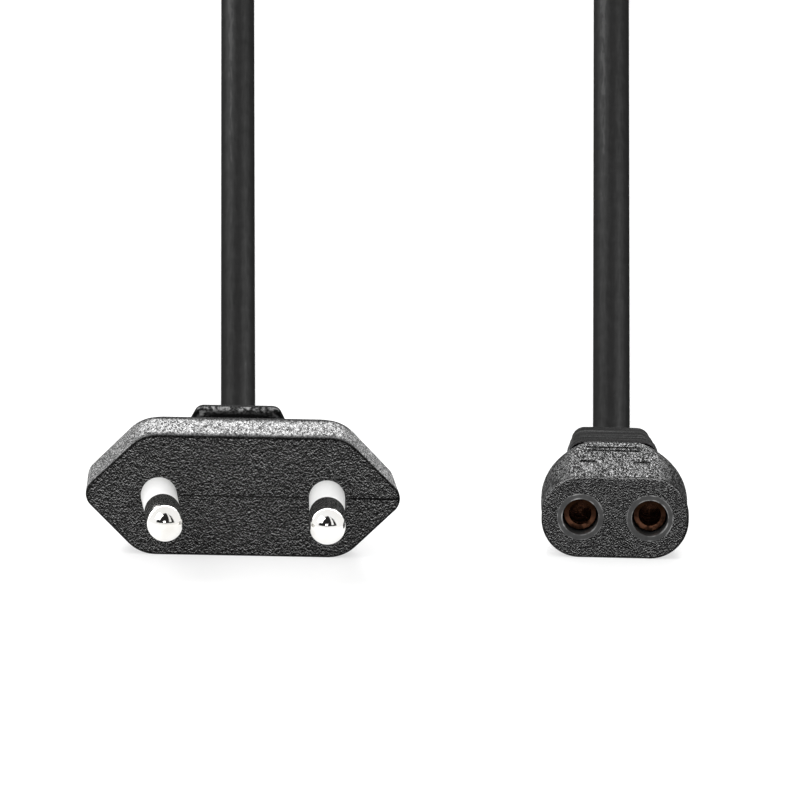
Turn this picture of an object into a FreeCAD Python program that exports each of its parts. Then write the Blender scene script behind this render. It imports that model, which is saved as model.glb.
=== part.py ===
import FreeCAD, Part
import math
import os

os.makedirs("parts", exist_ok=True)
V = FreeCAD.Vector

# Plug: six-sided block. Lengths run back from its engaging face; the frame's origin lies on the
# floor under the block, this far behind that face.
ORIGIN_DEPTH = 5.7
PLUG_LENGTH = 43.0
PLUG_WIDTH = 34.8
PLUG_HEIGHT = 13.4
PLUG_FLAT = 22.6
BLOCK_DEPTH = 11.4
BLOCK_DRAFT = 0.45
BLOCK_CORNER = 4.4
BLOCK_APEX = 1.8
FACE_EDGE = 0.35

# Waist and flared rim behind the block, for pulling the plug out.
WAIST_WIDTH = 10.6
WAIST_HEIGHT = 7.4
WAIST_DEPTH = 22.0
RIM_WIDTH = 13.7
RIM_HEIGHT = 9.65
RIM_FLAT = 9.0
RIM_DEPTH = 28.8
RIM_THICK = 1.4
RIM_EDGE = 0.35

# Tail behind the rim that keeps the cord from kinking.
TAIL_START = (7.4, 7.0)
TAIL_END = (5.5, 4.7)
TAIL_SLOTS = 3
TAIL_SLOT_START = 1.6
TAIL_SLOT_PITCH = 3.4
TAIL_SLOT_WIDTH = 1.0
TAIL_SLOT_DEPTH = 0.6

# Pins, which lean towards each other at their tips, and their sleeves.
PIN_SPACING = 18.6
PIN_TIP_SPACING = 17.75
PIN_LENGTH = 19.0
PIN_RADIUS = 2.0
PIN_CORE_RADIUS = 1.5
SLEEVE_BASE_RADIUS = 2.02
SLEEVE_FRONT_RADIUS = 1.94
SLEEVE_LENGTH = 10.0
PIN_COLLAR_RADIUS = 2.3
CRIMP_RADIUS = 1.75
PIN_CRIMP_END = 11.5
PIN_CRIMP_FLOOR = 7.0

# Rigid insert that carries the pins.
BRIDGE_FRONT = 2.0
BRIDGE_BACK = 8.0
BRIDGE_RADIUS = 3.6

# Cord: flat-oval sheath over two cores.
CORD_WIDTH = 3.9
CORD_THICK = 3.0
CORE_RADIUS = 0.8
CORE_OFFSET = 0.83
STRAND_RADIUS = 0.5
PLUG_SHEATH_END = 24.0
PLUG_CORE_PARTING = 20.6
PLUG_CORE_BEND = 15.0
CORE_STRIP = 0.6

# Connector: place of its face on the floor, and the turn of its axis seen from above.
CONNECTOR_X = 41.34
CONNECTOR_Y = 2.9
CONNECTOR_TURN = 1.25
CONNECTOR_WIDTH = 16.4
CONNECTOR_HEIGHT = 9.15
CONNECTOR_CORNER = 4.3
CONNECTOR_DEPTH = 22.5
CONNECTOR_BACK_WIDTH = 11.6
NECK_START = (10.5, 8.8)
NECK_END = (8.5, 5.05)
NECK_CORNER = (2.2, 1.5)
CONNECTOR_LENGTH = 41.0
NECK_STEP = 0.3
SOCKET_SPACING = 7.71
SOCKET_RADIUS = 2.0
BARREL_RADIUS = 2.6
CARRIER_BACK = 14.0
CARRIER_PLATE = 3.0
CONTACT_FRONT = 2.2
CONTACT_RADIUS = 1.75
CONTACT_BORE = 1.25
CONTACT_BORE_END = 10.0
CONTACT_SLIT = 0.5
CONTACT_TAIL_RADIUS = 1.3
CONTACT_END = 18.0
CONTACT_CRIMP_FLOOR = 13.0
CONNECTOR_SHEATH_END = 29.0
CONNECTOR_CORE_PARTING = 26.4
CONNECTOR_CORE_BEND = 20.6

# Plain shallow fields in the connector's top: a pair of long ones, and two bars behind them.
FIELD_DEPTH = 0.12
LONG_FIELD = (1.7, 7.5)
LONG_FIELD_SPACING = 6.0
LONG_FIELD_START = 2.5
BAR_FIELD = (5.8, 1.3)
BAR_FIELD_START = 15.6
BAR_FIELD_PITCH = 2.1

# Route of the cord on the floor and the coil that holds the length put away.
COIL_X = 31.2
COIL_Y = 430.0
COIL_OUTER_TURN = 27.0
COIL_INNER_TURN = 16.1
COIL_STUB = 17.0
COIL_EDGE = 1.3
RUN_LEAD = 4.0
RUN_END_Y = 392.0
PLUG_RUN_DOWN = (1.15, 74.0)
PLUG_RUN_END_X = 7.8
CONNECTOR_RUN_DOWN = (43.26, 68.0)
CONNECTOR_RUN_END_X = 54.56
TIE_THICK = 0.8
TIE_ANGLE = 20.0

PLUG_AXIS = PLUG_HEIGHT / 2
CONNECTOR_AXIS = CONNECTOR_HEIGHT / 2
FLOOR_LAY = CORD_THICK / 2
PIN_LEAN = math.degrees(math.atan((PIN_SPACING - PIN_TIP_SPACING) / 2 / PIN_LENGTH))
BACK = V(0, 1, 0)
UP = V(0, 0, 1)


def rounded(corners, radii, y, axis):
    """Closed wire in the plane y with rounded corners; corners are (x, z) about the axis height."""
    count = len(corners)
    points = [V(x, y, z + axis) for x, z in corners]
    starts, middles, ends = [], [], []
    for i in range(count):
        here = points[i]
        before = (points[i - 1] - here).normalize()
        after = (points[(i + 1) % count] - here).normalize()
        half = before.getAngle(after) / 2
        reach = radii[i] / math.tan(half)
        centre = here + (before + after).normalize() * (radii[i] / math.sin(half))
        starts.append(here + before * reach)
        ends.append(here + after * reach)
        middles.append(centre + (here - centre).normalize() * radii[i])
    edges = []
    for i in range(count):
        edges.append(Part.Arc(starts[i], middles[i], ends[i]).toShape())
        edges.append(Part.LineSegment(ends[i], starts[(i + 1) % count]).toShape())
    return Part.Wire(edges)


def six_sided(width, height, flat, corner, apex, y, axis):
    """Six-sided outline of the finished width, with a rounded point on the left and the right."""
    reach = width / 2
    for _ in range(4):
        slant = math.atan2(height / 2, reach - flat / 2)
        reach = width / 2 + apex * (1 / math.sin(slant) - 1)
    corners = [(reach, 0), (flat / 2, height / 2), (-flat / 2, height / 2)]
    corners += [(-reach, 0), (-flat / 2, -height / 2), (flat / 2, -height / 2)]
    return rounded(corners, [apex, corner, corner, apex, corner, corner], y, axis)


def box_outline(width, height, radius, y, axis):
    """Rectangle with rounded corners in the plane y."""
    w, h = width / 2, height / 2
    return rounded([(w, h), (-w, h), (-w, -h), (w, -h)], [radius] * 4, y, axis)


def oval(width, height, y, axis):
    """Flat oval: a rectangle whose short sides are round."""
    return box_outline(width, height, height / 2 - 0.02, y, axis)


def turned(profile):
    """Solid turned about the y axis from straight edges through (radius, y) points."""
    points = [V(r, y, 0) for r, y in profile]
    face = Part.Face(Part.makePolygon(points + points[:1]))
    return face.revolve(V(0, 0, 0), BACK, 360)


def rod(radius, y0, y1):
    return Part.makeCylinder(radius, y1 - y0, V(0, y0, 0), BACK)


def chain(points, radius):
    """Round wire through the points, with a ball at each corner."""
    pieces = []
    for a, b in zip(points, points[1:]):
        pieces.append(Part.makeCylinder(radius, (b - a).Length, a, b - a))
    for p in points[1:-1]:
        pieces.append(Part.makeSphere(radius, p))
    return pieces[0].multiFuse(pieces[1:]).removeSplitter()


def without(shape, tools):
    return shape.cut(Part.makeCompound(tools))


def solid_of(shape):
    """The single solid of a shape."""
    if len(shape.Solids) != 1:
        raise ValueError("expected one solid, found %d" % len(shape.Solids))
    return shape.Solids[0]


def section(name, start, end):
    """Edges of a shape's plane end lie at one y; used to pick edges to round."""
    return [e for e in name.Edges if all(start <= v.Point.y <= end for v in e.Vertexes)]


def with_planes(shape):
    """The same solid, with its flat four-sided faces as true planes."""
    faces = []
    for face in shape.Faces:
        corners = [vertex.Point for vertex in face.OuterWire.OrderedVertexes]
        if face.findPlane() and len(corners) == 4:
            face = Part.Face(Part.makePolygon(corners + corners[:1]))
        faces.append(face)
    shell = Part.makeShell(faces)
    shell.sewShape()
    solid = Part.makeSolid(shell)
    return solid if solid.Volume > 0 else solid.reversed()


def plug_outside():
    """Block, waist, flared rim and tail of the plug as one closed shape."""
    end_width = PLUG_WIDTH - 2 * BLOCK_DRAFT
    end_height = PLUG_HEIGHT
    end_flat = PLUG_FLAT - BLOCK_DRAFT
    front = six_sided(PLUG_WIDTH, PLUG_HEIGHT, PLUG_FLAT, BLOCK_CORNER, BLOCK_APEX, 0, PLUG_AXIS)
    back = six_sided(end_width, end_height, end_flat, BLOCK_CORNER, BLOCK_APEX, BLOCK_DEPTH, PLUG_AXIS)
    block = with_planes(Part.makeLoft([front, back], True, True))
    block = block.makeFillet(FACE_EDGE, section(block, -0.01, 0.01))

    # The shoulders fall from the block to the waist, and the waist flares to the rim.
    fall = [(0.0, 0.0), (0.1, 0.05), (0.3, 0.2), (0.52, 0.55), (0.74, 0.85), (1.0, 1.0)]
    outlines = []
    for along, drop in fall:
        y = BLOCK_DEPTH + (WAIST_DEPTH - BLOCK_DEPTH) * along
        width = end_width + (WAIST_WIDTH - end_width) * drop
        height = end_height + (WAIST_HEIGHT - end_height) * drop
        flat = end_flat + (WAIST_WIDTH * 0.62 - end_flat) * drop
        corner = BLOCK_CORNER + (1.6 - BLOCK_CORNER) * drop
        apex = BLOCK_APEX + (1.2 - BLOCK_APEX) * drop
        outlines.append(six_sided(width, height, flat, corner, apex, y, PLUG_AXIS))
    for along, rise in [(0.5, 0.02), (0.75, 0.12), (0.9, 0.42), (1.0, 1.0)]:
        y = WAIST_DEPTH + (RIM_DEPTH - WAIST_DEPTH) * along
        width = WAIST_WIDTH + (RIM_WIDTH - WAIST_WIDTH) * rise
        height = WAIST_HEIGHT + (RIM_HEIGHT - WAIST_HEIGHT) * rise
        flat = WAIST_WIDTH * 0.62 + (RIM_FLAT - WAIST_WIDTH * 0.62) * rise
        outlines.append(six_sided(width, height, flat, 1.6 - 0.5 * rise, 1.2, y, PLUG_AXIS))
    grip = Part.makeLoft(outlines, True, False)

    rim_back = RIM_DEPTH + RIM_THICK
    rim = six_sided(RIM_WIDTH, RIM_HEIGHT, RIM_FLAT, 1.1, 1.2, RIM_DEPTH, PLUG_AXIS)
    rim = Part.Face(rim).extrude(BACK * RIM_THICK)
    rim = rim.makeFillet(RIM_EDGE, section(rim, rim_back - 0.01, rim_back + 0.01))

    tail_front = oval(TAIL_START[0], TAIL_START[1], rim_back - 0.2, PLUG_AXIS)
    tail_back = oval(TAIL_END[0], TAIL_END[1], PLUG_LENGTH, PLUG_AXIS)
    tail = Part.makeLoft([tail_front, tail_back], True, True)
    deep = 2 * TAIL_SLOT_DEPTH
    across = 2 * TAIL_START[0]
    slots = []
    for i in range(TAIL_SLOTS):
        y = rim_back + TAIL_SLOT_START + TAIL_SLOT_PITCH * i
        along = (y - rim_back) / (PLUG_LENGTH - rim_back)
        wide = TAIL_START[0] + (TAIL_END[0] - TAIL_START[0]) * along
        tall = TAIL_START[1] + (TAIL_END[1] - TAIL_START[1]) * along
        for side in (-1, 1):
            low = PLUG_AXIS + side * (tall / 2 - TAIL_SLOT_DEPTH) - (deep if side < 0 else 0)
            slots.append(Part.makeBox(across, TAIL_SLOT_WIDTH, deep, V(-across / 2, y, low)))
            left = side * (wide / 2 - TAIL_SLOT_DEPTH) - (deep if side < 0 else 0)
            y_side = y + TAIL_SLOT_PITCH / 2
            slots.append(Part.makeBox(deep, TAIL_SLOT_WIDTH, across, V(left, y_side, PLUG_AXIS - across / 2)))
    tail = without(tail, slots)
    return block.multiFuse([grip, rim, tail]).removeSplitter()


def pin():
    """One pin along the y axis, tip towards -y, with its collar and its crimp barrel."""
    tip = -PIN_LENGTH
    collar = BRIDGE_FRONT + 1.5
    barrel = collar + 2.0
    outline = [(0, tip + PIN_RADIUS), (PIN_RADIUS, tip + PIN_RADIUS), (PIN_RADIUS, -SLEEVE_LENGTH)]
    outline += [(PIN_CORE_RADIUS, -SLEEVE_LENGTH), (PIN_CORE_RADIUS, collar)]
    outline += [(PIN_COLLAR_RADIUS, collar), (PIN_COLLAR_RADIUS, barrel), (CRIMP_RADIUS, barrel)]
    outline += [(CRIMP_RADIUS, PIN_CRIMP_END), (STRAND_RADIUS, PIN_CRIMP_END)]
    outline += [(STRAND_RADIUS, PIN_CRIMP_FLOOR), (0, PIN_CRIMP_FLOOR)]
    ball = Part.makeSphere(PIN_RADIUS, V(0, tip + PIN_RADIUS, 0))
    return turned(outline).fuse(ball).removeSplitter()


def sleeve():
    """Insulating sleeve of a pin, with draft; it runs a little into the insert, which trims it."""
    front = -SLEEVE_LENGTH
    end = BRIDGE_FRONT + 0.3
    outline = [(PIN_CORE_RADIUS, front), (SLEEVE_FRONT_RADIUS - 0.1, front)]
    outline += [(SLEEVE_FRONT_RADIUS, front + 0.1), (SLEEVE_BASE_RADIUS, end), (PIN_CORE_RADIUS, end)]
    return turned(outline)


def set_pin(shape, side):
    """Moves a piece on the pin's own axis to its place in the plug."""
    shape = shape.copy()
    shape.rotate(V(0, 0, 0), UP, -side * PIN_LEAN)
    shape.translate(V(side * PIN_SPACING / 2, 0, PLUG_AXIS))
    return shape


def on_pin_axis(side, y):
    lean = math.tan(math.radians(PIN_LEAN))
    return V(side * (PIN_SPACING / 2 + y * lean), y, PLUG_AXIS)


def route(points):
    """Straight runs joined by arcs that touch them; prints the arcs' radii."""
    edges, start = [], points[0]
    for a, b, c in zip(points, points[1:], points[2:]):
        before, after = (a - b).normalize(), (c - b).normalize()
        half_turn = (math.pi - before.getAngle(after)) / 2
        reach = 0.45 * min((a - b).Length, (c - b).Length)
        radius = reach / math.tan(half_turn)
        enter, leave = b + before * reach, b + after * reach
        middle = (before + after).normalize()
        centre = b + middle * (radius / math.cos(half_turn))
        edges.append(Part.LineSegment(start, enter).toShape())
        edges.append(Part.Arc(enter, centre - middle * radius, leave).toShape())
        start = leave
        print("arc radius %.1f mm" % radius)
    edges.append(Part.LineSegment(start, points[-1]).toShape())
    return Part.Wire(edges)


def cord_profile(at, heading):
    """Cord section standing across the heading, wide side level."""
    wire = oval(CORD_WIDTH, CORD_THICK, 0, 0)
    wire.rotate(V(0, 0, 0), UP, math.degrees(math.atan2(-heading.x, heading.y)))
    wire.translate(at)
    return wire


def cord_tube(points):
    """Cord along a route, its wide side level all the way."""
    path = route(points)
    sweep = Part.BRepOffsetAPI.MakePipeShell(path)
    sweep.setBiNormalMode(UP)
    sweep.add(cord_profile(points[0], points[1] - points[0]))
    sweep.build()
    sweep.makeSolid()
    tube = solid_of(sweep.shape())
    area = Part.Face(oval(CORD_WIDTH, CORD_THICK, 0, 0)).Area
    print("tube volume / (section x length) %.4f" % (tube.Volume / area / path.Length))
    print("tube length %.1f mm" % path.Length)
    return tube


def place_connector(shape):
    """Moves a piece of the connector from its own axis to its place on the floor."""
    shape = shape.copy()
    shape.rotate(V(0, 0, 0), UP, -CONNECTOR_TURN)
    shape.translate(V(CONNECTOR_X, CONNECTOR_Y, 0))
    return shape


def connector_point(x, y, z):
    return place_connector(Part.Vertex(x, y, z)).Point


def connector_outside():
    """Body and tapered neck of the connector as one closed shape."""
    taper = [(0.0, 0.0), (0.35, 0.04), (0.6, 0.12), (0.8, 0.43), (1.0, 1.0)]
    outlines = []
    for along, narrow in taper:
        width = CONNECTOR_WIDTH + (CONNECTOR_BACK_WIDTH - CONNECTOR_WIDTH) * narrow
        height = CONNECTOR_HEIGHT - 0.2 * narrow
        radius = CONNECTOR_CORNER - 0.6 * narrow
        outlines.append(box_outline(width, height, radius, CONNECTOR_DEPTH * along, CONNECTOR_AXIS))
    body = Part.makeLoft(outlines, True, False)
    body = body.makeFillet(FACE_EDGE, section(body, -0.01, 0.01))

    # The neck narrows in three steps, each a little smaller than the end of the one before.
    steps = 3
    pieces = []
    for i in range(steps):
        ends = []
        for k in (i, i + 1):
            t = k / steps
            wide = NECK_START[0] + (NECK_END[0] - NECK_START[0]) * t
            tall = NECK_START[1] + (NECK_END[1] - NECK_START[1]) * t
            corner = NECK_CORNER[0] + (NECK_CORNER[1] - NECK_CORNER[0]) * t
            grow = NECK_STEP if k > i else 0
            y = CONNECTOR_DEPTH + (CONNECTOR_LENGTH - CONNECTOR_DEPTH) * t - (0.2 if k == 0 else 0)
            ends.append(box_outline(wide + grow, tall + grow, corner, y, CONNECTOR_AXIS))
        pieces.append(Part.makeLoft(ends, True, True))
    shape = body.multiFuse(pieces).removeSplitter()

    # The bars lie where the top begins to fall towards the neck, so they are cut a little lower.
    top = CONNECTOR_HEIGHT - FIELD_DEPTH
    fields = []
    for side in (-1, 1):
        left = side * LONG_FIELD_SPACING / 2 - LONG_FIELD[0] / 2
        fields.append(Part.makeBox(LONG_FIELD[0], LONG_FIELD[1], 2, V(left, LONG_FIELD_START, top)))
    for i in range(2):
        y = BAR_FIELD_START + BAR_FIELD_PITCH * i
        low = top - 0.02 * (i + 1)
        fields.append(Part.makeBox(BAR_FIELD[0], BAR_FIELD[1], 2, V(-BAR_FIELD[0] / 2, y, low)))
    return without(shape, fields)


def carrier():
    """Insert with two barrels and a back plate; the barrels' ends lie in the connector's face."""
    plate_front = CARRIER_BACK - CARRIER_PLATE
    wide = SOCKET_SPACING + 2 * BARREL_RADIUS
    corner = V(-wide / 2, plate_front, CONNECTOR_AXIS - BARREL_RADIUS)
    plate = Part.makeBox(wide, CARRIER_PLATE, 2 * BARREL_RADIUS, corner)
    barrels = [on_socket(rod(BARREL_RADIUS, 0, CARRIER_BACK), side) for side in (-1, 1)]
    return plate.multiFuse(barrels).removeSplitter()


def contact():
    """Rolled socket on the y axis with a slit along its top and a crimp barrel behind."""
    wall = CARRIER_BACK - CARRIER_PLATE
    outline = [(CONTACT_BORE, CONTACT_FRONT), (CONTACT_RADIUS, CONTACT_FRONT)]
    outline += [(CONTACT_RADIUS, wall), (CONTACT_TAIL_RADIUS, wall)]
    outline += [(CONTACT_TAIL_RADIUS, CONTACT_END), (STRAND_RADIUS, CONTACT_END)]
    outline += [(STRAND_RADIUS, CONTACT_CRIMP_FLOOR), (0, CONTACT_CRIMP_FLOOR)]
    outline += [(0, CONTACT_BORE_END), (CONTACT_BORE, CONTACT_BORE_END)]
    slit_length = CONTACT_BORE_END - CONTACT_FRONT
    slit = Part.makeBox(CONTACT_SLIT, slit_length, 2 * CONTACT_RADIUS, V(-CONTACT_SLIT / 2, CONTACT_FRONT, 0))
    return turned(outline).cut(slit)


def on_socket(shape, side):
    shape = shape.copy()
    shape.translate(V(side * SOCKET_SPACING / 2, 0, CONNECTOR_AXIS))
    return shape


def tangent_point(run_end):
    """Where a straight run from its end point touches the coil's outer turn."""
    centre = V(COIL_X, COIL_Y, run_end.z)
    gap = centre - run_end
    length = math.sqrt(gap.Length ** 2 - COIL_OUTER_TURN ** 2)
    turn = math.asin(COIL_OUTER_TURN / gap.Length)
    side = 1 if run_end.x < COIL_X else -1
    heading = math.atan2(gap.x, gap.y) - side * turn
    return run_end + V(math.sin(heading), math.cos(heading), 0) * length


nodes = {}

# Plug: what lies inside comes first, and the moulding is cut round it.
pins, sleeves, cores, strands = {}, {}, {}, {}
for name, side in (("left", -1), ("right", 1)):
    pins[name] = set_pin(pin(), side)
    sleeves[name] = set_pin(sleeve(), side)
bridge_ends = [Part.makeCylinder(BRIDGE_RADIUS, BRIDGE_BACK - BRIDGE_FRONT,
                                 V(side * PIN_SPACING / 2, BRIDGE_FRONT, PLUG_AXIS), BACK)
               for side in (-1, 1)]
bridge_bar = Part.makeBox(PIN_SPACING, BRIDGE_BACK - BRIDGE_FRONT, 2 * BRIDGE_RADIUS,
                          V(-PIN_SPACING / 2, BRIDGE_FRONT, PLUG_AXIS - BRIDGE_RADIUS))
bridge = bridge_bar.multiFuse(bridge_ends).removeSplitter()
for name in sleeves:
    sleeves[name] = sleeves[name].cut(bridge)

for colour, side in (("brown", -1), ("blue", 1)):
    bend = [V(side * CORE_OFFSET, PLUG_SHEATH_END, PLUG_AXIS)]
    bend += [V(side * CORE_OFFSET, PLUG_CORE_PARTING, PLUG_AXIS), on_pin_axis(side, PLUG_CORE_BEND)]
    strands[colour] = chain(bend + [on_pin_axis(side, PIN_CRIMP_FLOOR - 0.3)], STRAND_RADIUS)
    strands[colour] = strands[colour].cut(pins["left" if side < 0 else "right"])
    insulation = chain(bend + [on_pin_axis(side, PIN_CRIMP_END + CORE_STRIP)], CORE_RADIUS)
    cores[colour] = insulation.cut(strands[colour])
bridge_envelope = bridge
pin_holes = [set_pin(rod(PIN_CORE_RADIUS, BRIDGE_FRONT - 1, BRIDGE_BACK + 1), side) for side in (-1, 1)]
bridge = without(bridge, list(pins.values()) + pin_holes)

plug_exit = V(0, PLUG_SHEATH_END, PLUG_AXIS)
plug_run_end = V(PLUG_RUN_END_X, RUN_END_Y, FLOOR_LAY)
plug_touch = tangent_point(plug_run_end)
plug_joint = plug_touch - (plug_touch - plug_run_end).normalize() * COIL_STUB
plug_points = [plug_exit, V(0, PLUG_LENGTH + RUN_LEAD, PLUG_AXIS)]
plug_points += [V(PLUG_RUN_DOWN[0], PLUG_RUN_DOWN[1], FLOOR_LAY), plug_run_end, plug_joint]
plug_run = cord_tube(plug_points)

inner = list(pins.values()) + list(sleeves.values()) + list(cores.values()) + list(strands.values())
plug_body = without(plug_outside(), inner + [bridge_envelope, plug_run])

# Connector, built on its own axis and then set in its place.
holder_envelope = carrier()
sockets = {"left": on_socket(contact(), -1), "right": on_socket(contact(), 1)}
wall = CARRIER_BACK - CARRIER_PLATE
bores = [on_socket(rod(SOCKET_RADIUS, 0, wall), side) for side in (-1, 1)]
tails = [on_socket(rod(CONTACT_TAIL_RADIUS, wall, CARRIER_BACK), side) for side in (-1, 1)]
holder = without(holder_envelope, bores + tails)
tail_rods = [on_socket(rod(CONTACT_TAIL_RADIUS, wall, CONTACT_END), side) for side in (-1, 1)]
far_cores, far_strands = {}, {}
for colour, side in (("brown", -1), ("blue", 1)):
    socket_x = side * SOCKET_SPACING / 2
    bend = [V(side * CORE_OFFSET, CONNECTOR_SHEATH_END, CONNECTOR_AXIS)]
    bend.append(V(side * CORE_OFFSET, CONNECTOR_CORE_PARTING, CONNECTOR_AXIS))
    bend.append(V(socket_x, CONNECTOR_CORE_BEND, CONNECTOR_AXIS))
    wire_end = V(socket_x, CONTACT_CRIMP_FLOOR, CONNECTOR_AXIS)
    far_strands[colour] = chain(bend + [wire_end], STRAND_RADIUS)
    insulation = chain(bend + [V(socket_x, CONTACT_END + CORE_STRIP, CONNECTOR_AXIS)], CORE_RADIUS)
    far_cores[colour] = insulation.cut(far_strands[colour])

exit_point = connector_point(0, CONNECTOR_SHEATH_END, CONNECTOR_AXIS)
far_run_end = V(CONNECTOR_RUN_END_X, RUN_END_Y, FLOOR_LAY)
far_touch = tangent_point(far_run_end)
far_touch.z = FLOOR_LAY + CORD_THICK
far_joint = far_touch - (far_touch - far_run_end).normalize() * COIL_STUB
far_points = [exit_point, connector_point(0, CONNECTOR_LENGTH + RUN_LEAD, CONNECTOR_AXIS)]
far_points += [V(CONNECTOR_RUN_DOWN[0], CONNECTOR_RUN_DOWN[1], FLOOR_LAY), far_run_end, far_joint]
far_run = cord_tube(far_points)

far_inner = tail_rods + list(far_cores.values()) + list(far_strands.values()) + [holder_envelope]
connector_body = place_connector(without(connector_outside(), far_inner)).cut(far_run)

# Coil of the length put away, with a band round it.
low_r = COIL_INNER_TURN - CORD_WIDTH / 2
high_r = COIL_OUTER_TURN + CORD_WIDTH / 2
coil_top = 2 * CORD_THICK
coil_centre = V(COIL_X, COIL_Y, 0)
ring = Part.makeCylinder(high_r, coil_top, coil_centre).cut(Part.makeCylinder(low_r, coil_top, coil_centre))
ring = ring.makeFillet(COIL_EDGE, [e for e in ring.Edges if len(e.Vertexes) == 1])
band_outer = Part.makeCylinder(high_r + TIE_THICK, coil_top + TIE_THICK, coil_centre, UP, TIE_ANGLE)
band_outer = band_outer.cut(Part.makeCylinder(low_r - TIE_THICK, coil_top + TIE_THICK, coil_centre))
band_outer.rotate(coil_centre, UP, 90 - TIE_ANGLE / 2)
lifted = ring.copy()
lifted.translate(UP * TIE_THICK)
tie = band_outer.cut(ring.common(lifted))
stubs = []
for joint, touch in ((plug_joint, plug_touch), (far_joint, far_touch)):
    heading = touch - joint
    stubs.append(Part.Face(cord_profile(joint, heading)).extrude(heading))
coil = ring.cut(tie).multiFuse(stubs).removeSplitter()
far_run = far_run.cut(coil)
plug_run = plug_run.cut(coil)

for name in pins:
    nodes["pin_" + name] = pins[name]
    nodes["pin_sleeve_" + name] = sleeves[name]
    nodes["contact_" + name] = place_connector(sockets[name])
for colour in cores:
    nodes["plug_core_" + colour] = cores[colour]
    nodes["plug_strands_" + colour] = strands[colour]
    nodes["connector_core_" + colour] = place_connector(far_cores[colour])
    nodes["connector_strands_" + colour] = place_connector(far_strands[colour])
nodes["plug_body"] = plug_body
nodes["pin_bridge"] = bridge
nodes["cord_plug_run"] = plug_run
nodes["cord_connector_run"] = far_run
nodes["cord_coil"] = coil
nodes["coil_tie"] = tie
nodes["connector_body"] = connector_body
nodes["contact_carrier"] = place_connector(holder)

for name, shape in nodes.items():
    shape = solid_of(shape).copy()
    shape.translate(V(0, -ORIGIN_DEPTH, 0))
    if not shape.isValid():
        raise ValueError(name + " is not a valid solid")
    shape.exportStep("parts/" + name + ".step")
    box = shape.BoundBox
    print("%-26s %9.1f mm3  x %.2f..%.2f  y %.2f..%.2f  z %.2f..%.2f" % (
        name, shape.Volume, box.XMin, box.XMax, box.YMin, box.YMax, box.ZMin, box.ZMax))
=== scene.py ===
import math
import bpy
import bmesh
from mathutils import Matrix, Vector


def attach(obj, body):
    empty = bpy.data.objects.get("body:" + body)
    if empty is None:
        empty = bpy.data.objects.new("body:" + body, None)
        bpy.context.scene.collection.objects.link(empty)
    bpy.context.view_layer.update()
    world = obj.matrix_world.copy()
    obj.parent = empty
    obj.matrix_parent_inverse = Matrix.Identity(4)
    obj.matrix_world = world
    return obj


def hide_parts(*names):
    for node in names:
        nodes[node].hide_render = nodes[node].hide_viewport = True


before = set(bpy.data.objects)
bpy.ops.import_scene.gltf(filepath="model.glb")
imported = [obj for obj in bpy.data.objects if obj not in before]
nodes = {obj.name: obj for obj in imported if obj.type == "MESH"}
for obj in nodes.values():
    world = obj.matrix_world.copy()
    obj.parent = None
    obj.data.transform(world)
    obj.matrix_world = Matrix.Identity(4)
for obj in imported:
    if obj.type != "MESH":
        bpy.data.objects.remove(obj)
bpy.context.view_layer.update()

# Pins: turned from brass rod with a rounded tip and nickel plated. A fine lathe pattern runs round
# them. The plating's colour is painted darker on the shank behind the tip, a painted reflection of
# the plug's dark face; the tip stays bright. They are moulded into the plug by their collars.
PIN_PLACE = (0.0093, -0.0057, 0.0067)
PIN_LEAN = math.radians(1.2815)
PIN_AROUND = 96
TIP_RADIUS, TIP_CENTRE, TIP_STEPS = 0.002, -0.017, 24
SHANK = [(0.002, -0.010), (0.0015, -0.010), (0.0015, 0.0035), (0.0023, 0.0035), (0.0023, 0.0055),
         (0.00175, 0.0055), (0.00175, 0.0115), (0.0005, 0.0115), (0.0005, 0.007)]
SHARP_EDGE = math.radians(30)
PAINTED_REFLECTION_FROM = (-0.0227, -0.0202)
NICKEL_AND_PAINTED_REFLECTION = [(0.0, (0.95, 0.94, 0.92)), (0.3, (0.86, 0.84, 0.80)), (0.7, (0.56, 0.55, 0.53)),
          (1.0, (0.47, 0.46, 0.44))]


def feed(tree, socket, value):
    """Sets a socket to a value, or links another node's output to it."""
    if isinstance(value, bpy.types.NodeSocket):
        tree.links.new(value, socket)
    else:
        socket.default_value = value


def dress(tree, sockets, **values):
    """Feeds several sockets by their names."""
    for name, value in values.items():
        feed(tree, sockets[name.replace("_", " ")], value)


def add(tree, kind, settings=(), **inputs):
    """Adds a node; an input is a value or another node's output."""
    node = tree.nodes.new(kind)
    for name, value in dict(settings).items():
        setattr(node, name, value)
    dress(tree, node.inputs, **inputs)
    return node


def maths(tree, operation, first, second=0.0, kind="ShaderNodeMath"):
    node = add(tree, kind, {"operation": operation})
    for socket, value in zip(node.inputs, (first, second)):
        feed(tree, socket, value)
    return node.outputs[0]


def times(tree, first, *others):
    """Product of two or more values."""
    for other in others:
        first = maths(tree, "MULTIPLY", first, other)
    return first


def shares(tree, first, share, second, other_share):
    """Sum of two values, each by its share."""
    return maths(tree, "ADD", times(tree, first, share), times(tree, second, other_share))


def spread(tree, value, low, high, to_low=0.0, to_high=1.0):
    """Stretches a value's range from low..high to another one."""
    node = add(tree, "ShaderNodeMapRange", Value=value, From_Min=low, From_Max=high, To_Min=to_low,
               To_Max=to_high)
    return node.outputs["Result"]


def between(tree, mask, start, end):
    """Runs from start to end as the mask goes from 0 to 1."""
    return spread(tree, mask, 0.0, 1.0, start, end)


def tones(tree, value, stops):
    """Colour that runs through the stops: (place, grey or colour)."""
    ramp = add(tree, "ShaderNodeValToRGB", Fac=value)
    marks = ramp.color_ramp.elements
    while len(marks) < len(stops):
        marks.new(0.5)
    for mark, (place, colour) in zip(marks, stops):
        mark.position = place
        mark.color = (*colour, 1) if isinstance(colour, tuple) else (colour, colour, colour, 1)
    return ramp.outputs["Color"]


def object_place(tree):
    return add(tree, "ShaderNodeTexCoord").outputs["Object"]


def parts_of(tree, vector):
    """X, Y and Z of a place or a direction."""
    return add(tree, "ShaderNodeSeparateXYZ", Vector=vector).outputs


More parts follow.
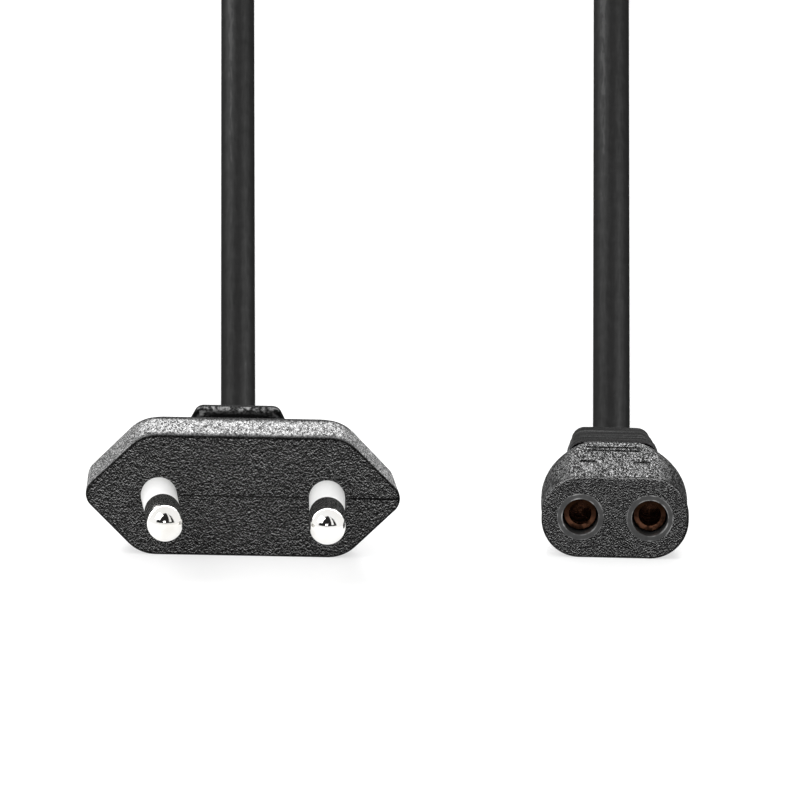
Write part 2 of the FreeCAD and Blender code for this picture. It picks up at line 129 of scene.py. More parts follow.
def emboss(tree, shader, height, strength, depth):
    """Raises a surface by a pattern of heights."""
    bump = add(tree, "ShaderNodeBump", Height=height, Strength=strength, Distance=depth)
    feed(tree, shader["Normal"], bump.outputs["Normal"])


def new_group(name, inputs, outputs):
    group = bpy.data.node_groups.new(name, "ShaderNodeTree")
    for label, value in inputs.items():
        socket = group.interface.new_socket(label, in_out="INPUT", socket_type="NodeSocketFloat")
        socket.default_value = value
    for label in outputs:
        group.interface.new_socket(label, in_out="OUTPUT", socket_type="NodeSocketFloat")
    return group, add(group, "NodeGroupInput").outputs, add(group, "NodeGroupOutput").inputs


def use_group(tree, group, **inputs):
    return add(tree, "ShaderNodeGroup", {"node_tree": group}, **inputs).outputs


def new_finish(name):
    material = bpy.data.materials.new(name)
    material.use_nodes = True
    return material, material.node_tree, material.node_tree.nodes["Principled BSDF"].inputs


def bring_in(name, data):
    """Puts a mesh, a lamp or a lens into the scene."""
    thing = bpy.data.objects.new(name, data)
    bpy.context.scene.collection.objects.link(thing)
    return thing


def mesh_piece(name, shape):
    """Turns a finished shape into a piece."""
    mesh = bpy.data.meshes.new(name)
    shape.to_mesh(mesh)
    shape.free()
    return bring_in(name, mesh)


lathe_rings, given, out = new_group("lathe_rings", {"Rings": 2600.0, "Smudge": 260.0}, ["Height", "Dull"])
place = object_place(lathe_rings)
rings = add(lathe_rings, "ShaderNodeTexWave", {"bands_direction": "Y"}, Vector=place, Scale=given["Rings"],
            Distortion=1.5)
smudge = add(lathe_rings, "ShaderNodeTexNoise", Vector=place, Scale=given["Smudge"], Detail=4.0)
dress(lathe_rings, out, Height=rings.outputs["Fac"],
      Dull=spread(lathe_rings, smudge.outputs["Fac"], 0.42, 0.68))

nickel, tree, shader = new_finish("nickel_plate")
turned = use_group(tree, lathe_rings)
# The shank's darker colour is a painted reflection of the plug's dark face.
marked = spread(tree, parts_of(tree, object_place(tree))["Y"], *PAINTED_REFLECTION_FROM)
reflection_and_smudge = shares(tree, marked, 0.7, turned["Dull"], 0.3)
dress(tree, shader, Base_Color=tones(tree, reflection_and_smudge, NICKEL_AND_PAINTED_REFLECTION), Metallic=1.0,
      Roughness=between(tree, turned["Dull"], 0.03, 0.08))
emboss(tree, shader, turned["Height"], 0.08, 0.00001)

for name, side in (("pin_left", -1), ("pin_right", 1)):
    quarter = [math.pi / 2 * k / TIP_STEPS for k in range(1, TIP_STEPS + 1)]
    outline = [(TIP_RADIUS * math.sin(a), TIP_CENTRE - TIP_RADIUS * math.cos(a)) for a in quarter] + SHANK
    shift = Matrix.Translation((side * PIN_PLACE[0], *PIN_PLACE[1:]))
    stand = shift @ Matrix.Rotation(-side * PIN_LEAN, 4, "Z")
    lathe = bmesh.new()
    turns = []
    for radius, along in outline:
        angles = [2 * math.pi * k / PIN_AROUND for k in range(PIN_AROUND)]
        ring = [stand @ Vector((radius * math.cos(a), along, radius * math.sin(a))) for a in angles]
        turns.append([lathe.verts.new(spot) for spot in ring])
    middles = (TIP_CENTRE - TIP_RADIUS, SHANK[-1][1])
    ends = [lathe.verts.new(stand @ Vector((0, along, 0))) for along in middles]
    for k in range(PIN_AROUND):
        j = (k + 1) % PIN_AROUND
        lathe.faces.new((ends[0], turns[0][k], turns[0][j]))
        lathe.faces.new((ends[1], turns[-1][j], turns[-1][k]))
        for a, b in zip(turns, turns[1:]):
            lathe.faces.new((a[k], b[k], b[j], a[j]))
    bmesh.ops.recalc_face_normals(lathe, faces=lathe.faces)
    for face in lathe.faces:
        face.smooth = True
    for edge in lathe.edges:
        edge.smooth = edge.calc_face_angle() < SHARP_EDGE
    turned_pin = mesh_piece(name + "_turned", lathe)
    turned_pin.data.materials.append(nickel)
    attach(turned_pin, "root")
    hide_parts(name)

# Sleeves: white polyamide moulded on the first part of each pin, so that no finger meets live metal.
# Smooth, with a faint flow mark and a trace of grey where outlets have rubbed them.
SLEEVE_WHITES = [(0.0, (0.97, 0.97, 0.96)), (1.0, (0.94, 0.94, 0.93))]


def give(material, *names):
    """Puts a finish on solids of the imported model."""
    for name in names:
        for slot in nodes[name].material_slots:
            slot.material = material


handling, given, out = new_group("handling", {"Size": 400.0, "Streak": 1.0}, ["Tone"])
lengths = add(handling, "ShaderNodeCombineXYZ", X=1.0, Z=1.0, Y=given["Streak"]).outputs["Vector"]
stretch = add(handling, "ShaderNodeMapping", Vector=object_place(handling), Scale=lengths)
marks = add(handling, "ShaderNodeTexNoise", Vector=stretch.outputs["Vector"], Scale=given["Size"],
            Detail=5.0, Roughness=0.6)
feed(handling, out["Tone"], spread(handling, marks.outputs["Fac"], 0.3, 0.7))

sleeve, tree, shader = new_finish("sleeve_polyamide")
marked = use_group(tree, handling, Size=700.0, Streak=0.25)["Tone"]
dress(tree, shader, Base_Color=tones(tree, marked, SLEEVE_WHITES),
      Roughness=between(tree, marked, 0.32, 0.45))
emboss(tree, shader, marked, 0.1, 0.00002)
give(sleeve, "pin_sleeve_left", "pin_sleeve_right")

# Insert: glass-filled plastic bar that holds both pins at their spacing while the plug is moulded
# round it. Dull, with pale fibres lying in its skin.
insert, tree, shader = new_finish("filled_insert")
fibres = use_group(tree, handling, Size=2500.0, Streak=0.2)["Tone"]
dress(tree, shader, Base_Color=tones(tree, fibres, [(0.0, 0.03), (0.75, 0.05), (1.0, 0.12)]),
      Roughness=between(tree, fibres, 0.5, 0.7))
emboss(tree, shader, fibres, 0.2, 0.00003)
give(insert, "pin_bridge")

# Cores: the two insulated wires, brown and blue, that fan out of the sheath inside each moulding.
# Extruded PVC, satin, with slight streaks along it.
CORE_COLOURS = (("brown", (0.21, 0.085, 0.035), (0.15, 0.055, 0.02)),
                ("blue", (0.05, 0.15, 0.48), (0.03, 0.1, 0.36)))
for name, light, dark in CORE_COLOURS:
    core, tree, shader = new_finish("core_" + name)
    streaks = use_group(tree, handling, Size=1500.0, Streak=0.15)["Tone"]
    dress(tree, shader, Base_Color=tones(tree, streaks, [(0.0, dark), (1.0, light)]),
          Roughness=between(tree, streaks, 0.35, 0.5))
    give(core, "plug_core_" + name, "connector_core_" + name)

# Strands: fine copper wires of each core, bare where they are crimped into a pin or a contact.
# Their lay shows as fine lines round them.
COPPER = [(0.0, (0.90, 0.48, 0.30)), (1.0, (0.70, 0.33, 0.18))]
copper, tree, shader = new_finish("copper_strands")
wires = use_group(tree, lathe_rings, Rings=1500.0, Smudge=900.0)
dress(tree, shader, Base_Color=tones(tree, wires["Dull"], COPPER), Metallic=1.0,
      Roughness=between(tree, wires["Dull"], 0.22, 0.4))
emboss(tree, shader, wires["Height"], 0.6, 0.00005)
give(copper, "plug_strands_brown", "plug_strands_blue", "connector_strands_brown", "connector_strands_blue")

# Plug: black PVC moulded over the pins, the insert and the end of the cord in one shot. The tool was
# spark eroded, so block and shoulders carry a coarse grain; the waist and rim were polished for
# release. The two halves of the tool met at half height, which left a fine line across the face.
PLUG_GRAIN, PLUG_SPARKS = 6400.0, 4600.0
SIDE_GRAIN, ALONG_SIDES = 6600.0, 0.2
GRAIN_STEP = 0.7
FACE_TURN = (0.5, 0.75)
EDGE_FROM, EDGE_TO = (0.3, 0.6), (0.9, 0.985)
POLISHED_FROM = (0.0125, 0.0155)
SEAM_HEIGHT, SEAM_HALF = 0.0067, (0.00005, 0.00013)
SEAM_RIGHT_FROM, SEAM_MIDDLE_TO = (0.0114, 0.012), (0.0066, 0.0072)
RIM_TOP_FROM = (0.0105, 0.0113)
TOP_FROM, TOP_TO = (-0.0053, -0.0031), (0.0036, 0.0053)
PLUG_BLACKS = [(0.0, 0.0), (0.38, 0.001), (0.55, 0.014), (0.8, 0.11), (1.0, 0.42)]

spark_grain, given, out = new_group("spark_grain", {"Grain": 3000.0, "Draw": 1.0},
                                    ["Height", "Fleck", "Lit"])
lengths = add(spark_grain, "ShaderNodeCombineXYZ", X=1.0, Z=1.0, Y=given["Draw"]).outputs["Vector"]
drawn = maths(spark_grain, "MULTIPLY", object_place(spark_grain), lengths, "ShaderNodeVectorMath")
next_grain = add(spark_grain, "ShaderNodeCombineXYZ", X=0.0, Y=0.0,
                 Z=maths(spark_grain, "DIVIDE", GRAIN_STEP, given["Grain"])).outputs["Vector"]
higher = maths(spark_grain, "ADD", drawn, next_grain, "ShaderNodeVectorMath")
pits, above = [add(spark_grain, "ShaderNodeTexNoise", Vector=spot, Scale=given["Grain"], Detail=1.0,
                   Roughness=0.6, Distortion=1.0).outputs["Fac"] for spot in (drawn, higher)]
tips = add(spark_grain, "ShaderNodeTexVoronoi", {"feature": "SMOOTH_F1"}, Vector=drawn, Smoothness=0.3,
           Scale=times(spark_grain, given["Grain"], 0.9)).outputs["Distance"]
height = shares(spark_grain, spread(spark_grain, pits, 0.36, 0.64), 0.75,
                spread(spark_grain, tips, 0.7, 0.1), 0.25)
# Lit: painted light on the grain, lighter where it faces upward, as if lit from above.
slope = maths(spark_grain, "SUBTRACT", pits, above)
dress(spark_grain, out, Height=height, Fleck=spread(spark_grain, height, 0.28, 0.74),
      Lit=spread(spark_grain, slope, -0.22, 0.22))


def rest_of(tree, mask):
    """What a mask leaves free."""
    return maths(tree, "SUBTRACT", 1.0, mask)


def away_from(tree, value, middle):
    """Distance of a value from a middle."""
    return maths(tree, "ABSOLUTE", maths(tree, "SUBTRACT", value, middle))


def grained(tree, grain):
    """Where a moulding's spots lie, its sides and edges, and the grain of its faces and sides."""
    lies = parts_of(tree, add(tree, "ShaderNodeNewGeometry").outputs["True Normal"])
    facing = maths(tree, "ABSOLUTE", lies["Y"])
    sides = spread(tree, facing, *FACE_TURN, 1.0, 0.0)
    edges = times(tree, spread(tree, facing, *EDGE_FROM), spread(tree, facing, *EDGE_TO, 1.0, 0.0))
    face_grain = use_group(tree, spark_grain, Grain=grain)
    side_grain = use_group(tree, spark_grain, Grain=SIDE_GRAIN, Draw=ALONG_SIDES)
    return parts_of(tree, object_place(tree)), lies, sides, edges, face_grain, side_grain


moulding, tree, shader = new_finish("plug_moulding")
spot, lies, sides, edges, face_grain, side_grain = grained(tree, PLUG_GRAIN)
polished = spread(tree, spot["Y"], *POLISHED_FROM)
coarse = rest_of(tree, times(tree, polished, 0.8))
mottle = spread(tree, use_group(tree, handling, Size=2300.0)["Tone"], 0.25, 0.75)

seam_near = spread(tree, away_from(tree, spot["Z"], SEAM_HEIGHT), *SEAM_HALF, 1.0, 0.0)
seam_right = spread(tree, spot["X"], *SEAM_RIGHT_FROM, 0.0, 0.5)
seam_middle = spread(tree, maths(tree, "ABSOLUTE", spot["X"]), *SEAM_MIDDLE_TO, 0.22, 0.0)
seam = times(tree, seam_near, maths(tree, "MAXIMUM", seam_right, seam_middle))

# The grain's colour is painted light and shade: lit from above on the faces, lighter peaks and darker
# hollows on the sides.
grain_light_and_shade = between(tree, sides, face_grain["Lit"], between(tree, face_grain["Fleck"], 0.5, 0.72))
# Painted shade darkens the rounded edges; the parting line is drawn as a dark line.
shade = times(tree, rest_of(tree, times(tree, edges, 0.3)), rest_of(tree, seam))
# Pale mottled patches at the top of the rim's front are painted highlights.
rim_top = times(tree, polished, spread(tree, spot["Z"], *RIM_TOP_FROM))
rim_front = spread(tree, lies["Y"], -0.35, -0.05, 1.0, 0.5)
painted_rim_highlights = times(tree, rim_top, between(tree, mottle, 0.55, 1.0), rim_front)
shown = maths(tree, "MAXIMUM", times(tree, grain_light_and_shade, coarse, shade), painted_rim_highlights)

lifted = spread(tree, lies["Z"], 0.72, 0.98)
amid = times(tree, spread(tree, spot["Y"], *TOP_FROM), spread(tree, spot["Y"], *TOP_TO, 1.0, 0.0))
tone = use_group(tree, handling, Size=180.0)["Tone"]
plain = between(tree, sides, between(tree, tone, 0.2, 0.34), 0.85)
side_glint = spread(tree, side_grain["Fleck"], 0.1, 0.8, 0.75, 0.12)
top_glint = between(tree, amid, 0.95, spread(tree, side_grain["Fleck"], 0.1, 0.8, 0.8, 0.12))
glint = between(tree, lifted, side_glint, top_glint)
grained_sides = times(tree, sides, rest_of(tree, polished))

sparks = use_group(tree, spark_grain, Grain=PLUG_SPARKS, Draw=ALONG_SIDES)["Fleck"]
shiny_top = times(tree, lifted, amid, spread(tree, sparks, 0.4, 0.6, 0.0, 0.3))
shiny_rim = times(tree, polished, mottle, spread(tree, lies["Y"], -0.75, -0.4, 1.0, 0.0))
dress(tree, shader, Base_Color=tones(tree, shown, PLUG_BLACKS),
      Roughness=between(tree, grained_sides, plain, glint), Specular_IOR_Level=0.04,
      Coat_Weight=maths(tree, "ADD", shiny_top, shiny_rim), Coat_Roughness=0.12)

height = between(tree, sides, face_grain["Height"], side_grain["Height"])
raised = times(tree, height, coarse, between(tree, sides, 1.0, 1.7))
emboss(tree, shader, maths(tree, "SUBTRACT", raised, times(tree, seam, 1.2)), 1.0, 0.00012)
give(moulding, "plug_body")

# Cord: flat twin flex, two cores side by side under one black PVC sheath with a shallow valley along
# its middle. It leaves the plug, runs straight back on the floor, is wound in a coil of two layers
# and comes straight back to the connector.
PLUG_END = [(0.0, 0.0183, 0.0067), (0.0, 0.0413, 0.0067), (0.00115, 0.0683, 0.0015),
            (0.00172, 0.0957, 0.0015), (0.00706, 0.3508, 0.0015), (0.0078, 0.3863, 0.0015)]
CONNECTOR_END = [(0.05456, 0.3863, 0.0015), (0.05332, 0.3508, 0.0015), (0.04398, 0.0827, 0.0015),
                 (0.04326, 0.0623, 0.0015), (0.042322, 0.042189, 0.004575), (0.041973, 0.026193, 0.004575)]
COIL_CENTRE = (0.0312, 0.4243)
COIL_OUTER, COIL_INNER = 0.027, 0.0161
FIRST_TOUCH, LAST_TOUCH = math.radians(185.6), math.radians(-1805.7)
COIL_POINTS = 88
LAYERS = (0.0015, 0.0045)
CLIMB_FROM, CLIMB_FOR = 0.47, 0.06
SHEATH_WIDTHS = [(0.0, 0.00385), (0.23, 0.0041), (0.26, 0.00388), (0.74, 0.00388), (0.77, 0.0044),
                 (1.0, 0.00415)]
SHEATH_HALF_THICK = 0.0015
VALLEY, VALLEY_REACH = 0.0004, 0.00055
SHEATH_AROUND = 48
PAINTED_LOBE_SHADING = [(0.0, 0.36), (0.12, 0.42), (0.42, 1.0), (0.6, 0.85), (0.86, 0.2), (1.0, 0.12)]
HALF_WAY = (0.76, 0.79)
RUNS_BACK = (0.08, 0.36)
SHEATH_BLACKS = [(0.1, 0.014), (0.4, 0.021), (0.85, 0.042), (1.0, 0.065)]

step = (LAST_TOUCH - FIRST_TOUCH) / COIL_POINTS
coil = []
for i in range(COIL_POINTS):
    along = (i + 0.5) / COIL_POINTS
    inward = 1 - abs(2 * along - 1)
    reach = (COIL_OUTER + (COIL_INNER - COIL_OUTER) * inward) / math.cos(step / 2)
    angle = FIRST_TOUCH + (i + 0.5) * step
    climb = min(1.0, max(0.0, (along - CLIMB_FROM) / CLIMB_FOR))
    lift = LAYERS[0] + (LAYERS[1] - LAYERS[0]) * climb * climb * (3 - 2 * climb)
    coil.append((COIL_CENTRE[0] + reach * math.cos(angle), COIL_CENTRE[1] + reach * math.sin(angle), lift))
route_points = PLUG_END + coil + CONNECTOR_END

route = bpy.data.curves.new("lead_route", "CURVE")
route.dimensions = "3D"
spline = route.splines.new("NURBS")
spline.points.add(len(route_points) - 1)
for point, spot in zip(spline.points, route_points):
    point.co = (*spot, 1.0)
spline.order_u = 3
spline.use_endpoint_u = True
spline.resolution_u = 12
guide = bring_in("lead_route", route)
bpy.context.view_layer.update()
line = bpy.data.meshes.new_from_object(guide.evaluated_get(bpy.context.evaluated_depsgraph_get()))
path = [vertex.co.copy() for vertex in line.vertices]
bpy.data.objects.remove(guide)

gone = [0.0]
for a, b in zip(path, path[1:]):
    gone.append(gone[-1] + (b - a).length)
tube = bmesh.new()
mapped = tube.loops.layers.uv.new("sheath")
circles, aside = [], []
for i, here in enumerate(path):
    heading = (path[min(i + 1, len(path) - 1)] - path[max(i - 1, 0)]).normalized()
    across = heading.cross(Vector((0, 0, 1))).normalized()
    upward = across.cross(heading)
    share = gone[i] / gone[-1]
    stretches = zip(SHEATH_WIDTHS, SHEATH_WIDTHS[1:])
    (begin, first), (end, last) = next(pair for pair in stretches if share <= pair[1][0])
    width = first + (last - first) * (share - begin) / (end - begin)
    lobe_shift = width / 2 - SHEATH_HALF_THICK
    ring, offsets = [], []
    for k in range(SHEATH_AROUND):
        turn = 2 * math.pi * k / SHEATH_AROUND
        outward = math.cos(turn)
        x = SHEATH_HALF_THICK * outward + math.copysign(lobe_shift, outward) * min(1.0, abs(outward) * 4)
        z = (SHEATH_HALF_THICK - VALLEY * math.exp(-(x / VALLEY_REACH) ** 2)) * math.sin(turn)
        ring.append(tube.verts.new(here + across * x + upward * z))
        offsets.append(2 * x / width)
    circles.append(ring)
    aside.append(offsets)
for i in range(len(circles) - 1):
    for k in range(SHEATH_AROUND):
        j = (k + 1) % SHEATH_AROUND
        corners = ((i, k), (i + 1, k), (i + 1, j), (i, j))
        face = tube.faces.new([circles[row][col] for row, col in corners])
        face.smooth = True
        for loop, (row, col) in zip(face.loops, corners):
            loop[mapped].uv = (gone[row], aside[row][col])
tube.faces.new(circles[0])
tube.faces.new(reversed(circles[-1]))
bmesh.ops.recalc_face_normals(tube, faces=tube.faces)
lead = mesh_piece("lead", tube)

sheath, tree, shader = new_finish("sheath_pvc")
laid = add(tree, "ShaderNodeUVMap", {"uv_map": "sheath"}).outputs["UV"]
run = parts_of(tree, laid)
pulled = add(tree, "ShaderNodeMapping", Vector=laid, Scale=(90.0, 6.0, 1.0)).outputs["Vector"]
streaks = add(tree, "ShaderNodeTexNoise", Vector=pulled, Scale=1.0, Detail=3.0).outputs["Fac"]
blotch = use_group(tree, handling, Size=620.0, Streak=0.25)["Tone"]
skin = shares(tree, blotch, 0.5, streaks, 0.5)
# The sheath's colour carries painted light and shade: lighter on each lobe's crest, darker in the valley
# and at the sides.
lobe_shading = tones(tree, maths(tree, "ABSOLUTE", run["Y"]), PAINTED_LOBE_SHADING)
turned_over = spread(tree, run["X"], *HALF_WAY, 1.0, -1.0)
left_lobe = spread(tree, times(tree, run["Y"], turned_over), -0.15, 0.15, 1.0, 0.0)
back = spread(tree, parts_of(tree, object_place(tree))["Y"], *RUNS_BACK)
# A painted highlight runs along the left lobe, stronger further back, broken up by the streaks.
painted_gleam = between(tree, left_lobe, between(tree, back, 0.9, 0.55), between(tree, back, 0.68, 1.3))
broken = times(tree, painted_gleam, spread(tree, streaks, 0.35, 0.65, 0.88, 1.12))
surface_value = shares(tree, times(tree, lobe_shading, broken), 0.7, skin, 0.3)
dress(tree, shader, Base_Color=tones(tree, surface_value, SHEATH_BLACKS), Roughness=between(tree, blotch, 0.6, 0.8),
      Specular_IOR_Level=0.0)
emboss(tree, shader, skin, 0.3, 0.00006)
lead.data.materials.append(sheath)
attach(lead, "root")
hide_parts("cord_plug_run", "cord_coil", "cord_connector_run")

# Tie: a black band of soft plastic closed round the coil, as the lead is packed. Fine ribs across it
# keep it from slipping.
band, tree, shader = new_finish("tie_band")
ribs = use_group(tree, lathe_rings, Rings=420.0, Smudge=300.0)
dress(tree, shader, Base_Color=tones(tree, ribs["Dull"], [(0.0, 0.02), (1.0, 0.035)]),
      Roughness=between(tree, ribs["Dull"], 0.38, 0.55))
emboss(tree, shader, ribs["Height"], 0.5, 0.0002)
give(band, "coil_tie")

# Contacts: two sockets rolled from copper alloy strip, open along a slit, painted darker on their
# upper part as painted shade inside the holes. Each is crimped to its core and pushed into the carrier.
UPPER_SHADE_FROM = (0.0036, 0.0052)
ALLOY = [(0.0, (0.10, 0.045, 0.026)), (0.5, (0.034, 0.015, 0.009)), (1.0, (0.014, 0.006, 0.003))]
alloy, tree, shader = new_finish("contact_alloy")
strip = use_group(tree, lathe_rings, Rings=1300.0, Smudge=1300.0)
# The upper part is painted darker: painted shade inside the holes.
upper = spread(tree, parts_of(tree, object_place(tree))["Z"], *UPPER_SHADE_FROM)
smudge_and_shade = maths(tree, "MAXIMUM", strip["Dull"], upper)
dress(tree, shader, Base_Color=tones(tree, smudge_and_shade, ALLOY), Metallic=1.0,
      Roughness=between(tree, strip["Dull"], 0.25, 0.5))
emboss(tree, shader, strip["Height"], 0.2, 0.00003)
give(alloy, "contact_left", "contact_right")

# Carrier: hard black insert whose two barrels hold the contacts. Their ends show in the connector's
# face as smooth grey rings, with pale lines at their edges that are painted highlights.
CONNECTOR_MIDDLE = 0.04134
HOLE_ASIDE, HOLE_HEIGHT = 0.003855, 0.004575
RING_EDGES, RING_EDGE_HALF = (0.00205, 0.00256), (0.00003, 0.0001)
RING_FRONT = (-0.0024, -0.0022)
smooth, tree, shader = new_finish("carrier_plastic")
surface_value = use_group(tree, handling, Size=900.0)["Tone"]
spot = parts_of(tree, object_place(tree))
from_hole = maths(tree, "SUBTRACT", away_from(tree, spot["X"], CONNECTOR_MIDDLE), HOLE_ASIDE)
over_hole = maths(tree, "SUBTRACT", spot["Z"], HOLE_HEIGHT)
squares = [maths(tree, "POWER", distance, 2.0) for distance in (from_hole, over_hole)]
reach = maths(tree, "SQRT", maths(tree, "ADD", *squares))
# The pale lines at the rings' edges are painted highlights.
ring_edge_highlights = [spread(tree, away_from(tree, reach, edge), *RING_EDGE_HALF, 1.0, 0.0) for edge in RING_EDGES]
marked = times(tree, maths(tree, "MAXIMUM", *ring_edge_highlights), spread(tree, spot["Y"], *RING_FRONT, 1.0, 0.0))
tone = shares(tree, surface_value, 0.4, times(tree, marked, surface_value), 0.6)
dress(tree, shader, Base_Color=tones(tree, tone, [(0.0, 0.035), (0.4, 0.06), (1.0, 0.32)]),
      Roughness=between(tree, surface_value, 0.35, 0.5), Specular_IOR_Level=0.2)
emboss(tree, shader, surface_value, 0.15, 0.00003)
give(smooth, "contact_carrier")

# Connector: black PVC moulded over the carrier and the cord. Its body has the plug's grain, a little
# finer; the stepped neck is smooth, so that it bends without splitting.
CONNECTOR_GRAIN, CONNECTOR_SPARKS = 8200.0, 4400.0
FIELD_BELOW, FIELD_HALF, FIELD_TO = (0.00905, 0.00909), (0.0038, 0.0039), (0.0078, 0.008)
NECK_FROM = (0.0184, 0.0194)
LIP_PLACE, LIP_HALF = 0.02587, (0.0003, 0.0006)
BORDER_TO = (0.0, 0.001)
BEND_LINES, BEND_LENGTHS = 1000.0, (0.06, 1.0, 1.0)
CONNECTOR_BLACKS = [(0.0, 0.0), (0.35, 0.001), (0.54, 0.006), (0.74, 0.056), (1.0, 0.44)]
housing, tree, shader = new_finish("connector_moulding")
spot, lies, sides, edges, face_grain, side_grain = grained(tree, CONNECTOR_GRAIN)
tone = use_group(tree, handling, Size=420.0)["Tone"]
smooth_neck = spread(tree, spot["Y"], *NECK_FROM)
coarse = rest_of(tree, times(tree, smooth_neck, 0.75))

# Painted light and shade on the grain, as on the plug.
grain_light_and_shade = between(tree, sides, face_grain["Lit"], between(tree, face_grain["Fleck"], 0.42, 0.64))
# The right-facing sides are painted darker: painted shade.
right_side_shade = spread(tree, lies["X"], 0.15, 0.55, 1.0, 0.75)
# Neck: random tone, with its left-facing flank painted lighter as painted light.
neck_tone_and_painted_light = maths(tree, "ADD", times(tree, maths(tree, "POWER", tone, 2.2), 0.2),
                  spread(tree, lies["X"], -0.4, -0.85, 0.0, 0.5))
tinted = maths(tree, "ADD", times(tree, grain_light_and_shade, coarse, right_side_shade), times(tree, smooth_neck, neck_tone_and_painted_light))
border = times(tree, edges, spread(tree, spot["Y"], *BORDER_TO, 1.0, 0.0))
# The front edge's fillet is painted lighter on top as a painted highlight, and darker below as painted
# shade.
border_highlight_and_shade = times(tree, border, spread(tree, lies["Z"], -0.1, 0.4, -0.15, 0.5))
# A dark line at the neck's first step is painted shade under its lip.
step_shade_line = spread(tree, away_from(tree, spot["Y"], LIP_PLACE), *LIP_HALF, 1.0, 0.0)
shade = maths(tree, "ADD", border_highlight_and_shade, rest_of(tree, times(tree, step_shade_line, 0.8)))

field = times(tree, spread(tree, spot["Z"], *FIELD_BELOW, 1.0, 0.0), spread(tree, lies["Z"], 0.9, 0.95),
              spread(tree, away_from(tree, spot["X"], CONNECTOR_MIDDLE), *FIELD_HALF, 1.0, 0.0),
              spread(tree, spot["Y"], *FIELD_TO, 1.0, 0.0))
shine = between(tree, field, side_grain["Fleck"], between(tree, side_grain["Fleck"], 0.35, 0.95))
lifted = spread(tree, lies["Z"], 0.8, 0.99)
glint = spread(tree, shine, 0.1, 0.9, 1.0, between(tree, lifted, 0.95, 0.22))
skin = between(tree, sides, between(tree, tone, 0.3, 0.45), glint)
pulled = add(tree, "ShaderNodeMapping", Scale=BEND_LENGTHS, Vector=object_place(tree)).outputs["Vector"]
bends = add(tree, "ShaderNodeTexNoise", Scale=BEND_LINES, Detail=2.0, Vector=pulled).outputs["Fac"]
neck_skin = spread(tree, bends, 0.45, 0.65, 1.0, 0.72)

sparks = use_group(tree, spark_grain, Grain=CONNECTOR_SPARKS, Draw=ALONG_SIDES)["Fleck"]
shoulders = times(tree, sides, rest_of(tree, smooth_neck), rest_of(tree, lifted))
shiny_shoulders = times(tree, shoulders, right_side_shade, spread(tree, sparks, 0.55, 0.7, 0.0, 0.18))
dress(tree, shader, Base_Color=tones(tree, times(tree, tinted, shade), CONNECTOR_BLACKS),
      Roughness=between(tree, smooth_neck, skin, neck_skin), Specular_IOR_Level=0.04,
      Coat_Weight=shiny_shoulders, Coat_Roughness=0.2)

height = between(tree, sides, face_grain["Height"], side_grain["Height"])
emboss(tree, shader, times(tree, height, coarse, between(tree, sides, 1.0, 1.5)), 1.0, 0.0001)
give(housing, "connector_body")

# Studio: a white, slightly glossy table that takes a faint shadow, large soft lamps to the left, in
# front and behind, and a long lens from a little above the table.
TABLE_CORNERS = [(-5, -5, 0), (5, -5, 0), (5, 5, 0), (-5, 5, 0)]
MIDDLE = (0.02, 0.05, 0)
LAMPS = (("left_box", (-0.9, -0.5, 1.1), MIDDLE, (1.0, 1.0), 8.0),
         ("back_box", (-0.3, 1.5, 0.43), MIDDLE, (2.2, 0.6), 21.0),
         ("front_box", (-0.15, -1.4, 0.5), (0.02, 0.0, 0), (0.35, 0.22), 1.6))
WHITE = (1, 1, 1, 1)
table_mesh = bpy.data.meshes.new("table")
table_mesh.from_pydata(TABLE_CORNERS, [], [(0, 1, 2, 3)])
table = bring_in("table", table_mesh)
top = bpy.data.materials.new("table_white")
top.use_nodes = True
tree = top.node_tree
tree.nodes.remove(tree.nodes["Principled BSDF"])


def joined(tree, kind, first, second, **inputs):
    """Mix or sum of two shaders: they are the node's last two inputs."""
    node = add(tree, kind, **inputs)
    for socket, part in zip(node.inputs[-2:], (first, second)):
        tree.links.new(part.outputs[0], socket)
    return node


seen = add(tree, "ShaderNodeLightPath").outputs
mirrored = maths(tree, "MAXIMUM", seen["Is Glossy Ray"], seen["Is Transmission Ray"])
plain = add(tree, "ShaderNodeBsdfDiffuse", Color=(0.8, 0.8, 0.8, 1))
shade = add(tree, "ShaderNodeBsdfDiffuse", Color=(0.42, 0.42, 0.42, 1))
glow = add(tree, "ShaderNodeEmission", Color=WHITE, Strength=0.61)
gloss = add(tree, "ShaderNodeBsdfGlossy", Color=WHITE, Roughness=0.2)
matt = joined(tree, "ShaderNodeAddShader", shade, glow)
glazed = joined(tree, "ShaderNodeMixShader", matt, gloss, Fac=0.04)
shown = maths(tree, "MAXIMUM", seen["Is Camera Ray"], mirrored)
chosen = joined(tree, "ShaderNodeMixShader", plain, glazed, Fac=shown)
tree.links.new(chosen.outputs[0], tree.nodes["Material Output"].inputs["Surface"])
table.data.materials.append(top)

for name, spot, aim, size, power in LAMPS:
    lamp = bpy.data.lights.new(name, "AREA")
    lamp.shape = "RECTANGLE"
    lamp.size, lamp.size_y = size
    lamp.energy = power
    holder = bring_in(name, lamp)
    holder.location = spot
    holder.rotation_euler = (Vector(aim) - Vector(spot)).to_track_quat("-Z", "Y").to_euler()
    holder.visible_camera = False

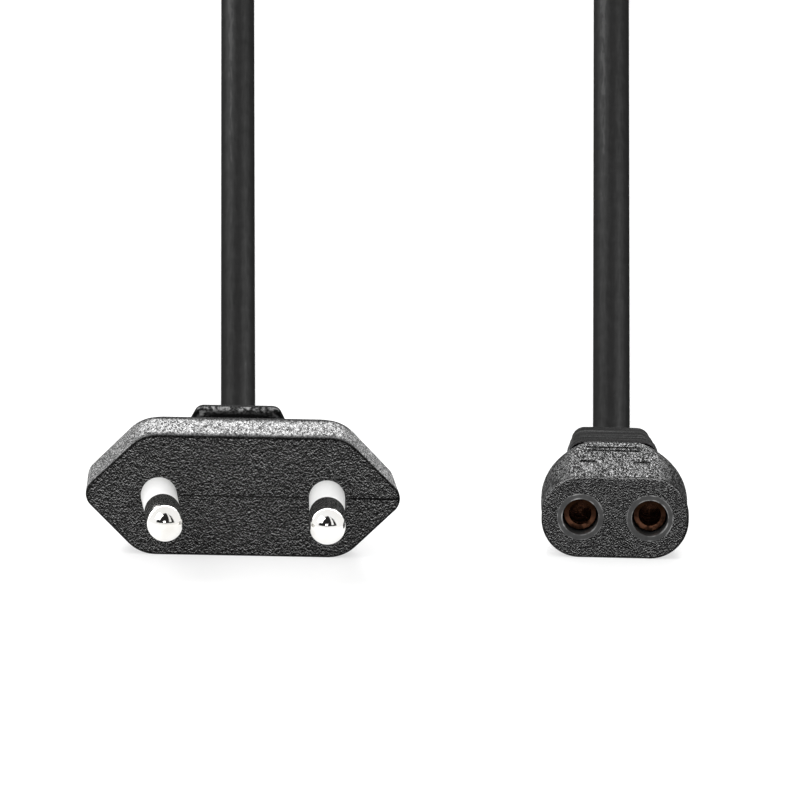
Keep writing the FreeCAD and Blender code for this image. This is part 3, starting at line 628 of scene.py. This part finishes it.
world = bpy.data.worlds.new("studio")
bpy.context.scene.world = world
world.use_nodes = True
tree = world.node_tree
seen = add(tree, "ShaderNodeLightPath").outputs
way = parts_of(tree, add(tree, "ShaderNodeTexCoord").outputs["Generated"])
ahead = times(tree, way["Y"], -1.0)
wedge = maths(tree, "SUBTRACT", ahead, times(tree, maths(tree, "ABSOLUTE", way["X"]), 0.35))
dark_front = spread(tree, wedge, 0.12, 0.25, 1.0, 0.02)
low_card = spread(tree, way["Z"], 0.16, 0.21, 1.0, 0.0)
sideways = maths(tree, "DIVIDE", way["X"], maths(tree, "MAXIMUM", ahead, 0.01))
tall_card = times(tree, spread(tree, sideways, 0.48, 0.54), spread(tree, sideways, 0.9, 0.97, 1.0, 0.0),
                  spread(tree, way["Z"], 0.28, 0.34))
front = maths(tree, "MAXIMUM", dark_front, maths(tree, "MAXIMUM", low_card, tall_card))
ceiling = spread(tree, way["Z"], 0.35, 0.95, 1.0, 0.95)
mirrored = maths(tree, "MAXIMUM", seen["Is Glossy Ray"], seen["Is Transmission Ray"])
room = between(tree, mirrored, 0.97, times(tree, front, ceiling))
dress(tree, tree.nodes["Background"].inputs, Color=WHITE,
      Strength=between(tree, seen["Is Camera Ray"], room, 1.0))

AZIMUTH, ELEVATION, ROLL = math.radians(-1.8005), math.radians(10.2906), math.radians(1.3984)
TARGET, DISTANCE = Vector((0.0171027, -0.0057, 0.017885)), 2.94612
LENS_LENGTH, SENSOR_WIDTH = 1200.0, 36.0
level = math.cos(ELEVATION)
back = Vector((math.sin(AZIMUTH) * level, -math.cos(AZIMUTH) * level, math.sin(ELEVATION)))
right = Vector((math.cos(AZIMUTH), math.sin(AZIMUTH), 0))
up = back.cross(right)
turned_right = math.cos(ROLL) * right + math.sin(ROLL) * up
turned_up = math.cos(ROLL) * up - math.sin(ROLL) * right
eye = TARGET + back * DISTANCE
lens = bpy.data.cameras.new("lens")
lens.lens, lens.sensor_width = LENS_LENGTH, SENSOR_WIDTH
camera = bring_in("camera", lens)
axes = [(turned_right[i], turned_up[i], back[i], eye[i]) for i in range(3)]
camera.matrix_world = Matrix(axes + [(0, 0, 0, 1)])
bpy.context.scene.camera = camera
bpy.context.scene.view_settings.view_transform = "Standard"
